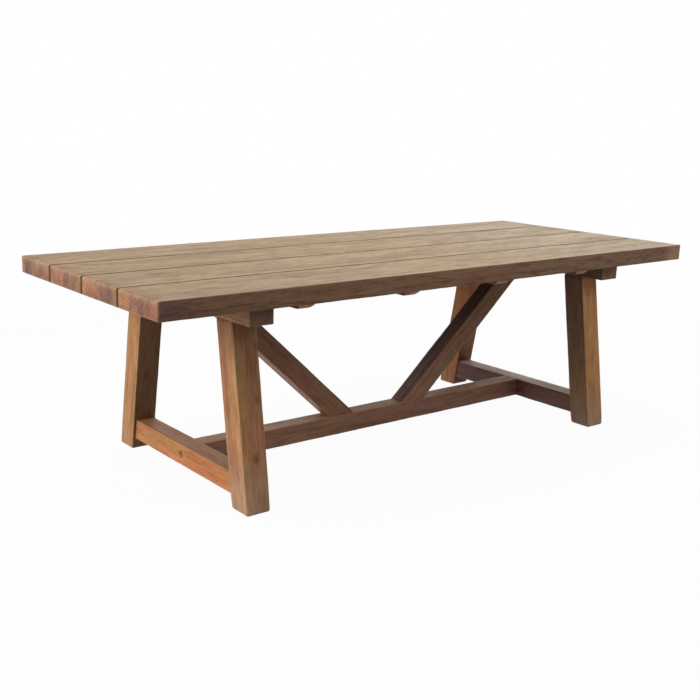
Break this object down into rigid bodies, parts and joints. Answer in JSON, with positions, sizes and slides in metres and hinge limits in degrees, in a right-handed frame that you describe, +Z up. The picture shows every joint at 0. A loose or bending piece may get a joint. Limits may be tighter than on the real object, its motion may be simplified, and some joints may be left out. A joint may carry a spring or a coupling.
{
  "type": "trestle dining table",
  "caption": "Long rectangular dining table with thick planks on two splayed trestles, joined by a low stretcher and two diagonal braces.",
  "frame": {"origin": "on the floor, under the middle of the top", "axes": "+X along the table, +Y across it towards the back, +Z up"},
  "size_m": [2.5, 1, 0.75],
  "materials": {
    "weathered_top": "weathered open-grain teak, brushed and unvarnished",
    "aged_frame": "aged brown teak with planed edges and a low sheen",
    "teak_plug": "end-grain teak plug",
    "zinc_steel": "dull zinc plating"
  },
  "bodies": {
    "root": {"top_plank_front": "weathered_top", "top_plank_mid_front": "weathered_top", "top_plank_mid_back": "weathered_top", "top_plank_back": "weathered_top", "leg_front_left": "aged_frame", "leg_back_left": "aged_frame", "leg_front_right": "aged_frame", "leg_back_right": "aged_frame", "bearer_left": "aged_frame", "bearer_right": "aged_frame", "end_rail_left": "aged_frame", "end_rail_right": "aged_frame", "stretcher": "aged_frame", "brace_left": "aged_frame", "brace_right": "aged_frame", "batten_outer_left": "aged_frame", "batten_inner_left": "aged_frame", "batten_inner_right": "aged_frame", "batten_outer_right": "aged_frame", "rail_plugs": "teak_plug", "rail_bolts": "zinc_steel", "rail_bolt_washers": "zinc_steel", "barrel_nuts": "zinc_steel", "brace_head_screws": "zinc_steel", "brace_foot_screws": "zinc_steel", "bearer_screws_left": "zinc_steel", "bearer_screws_right": "zinc_steel"}
  },
  "joints": []
}
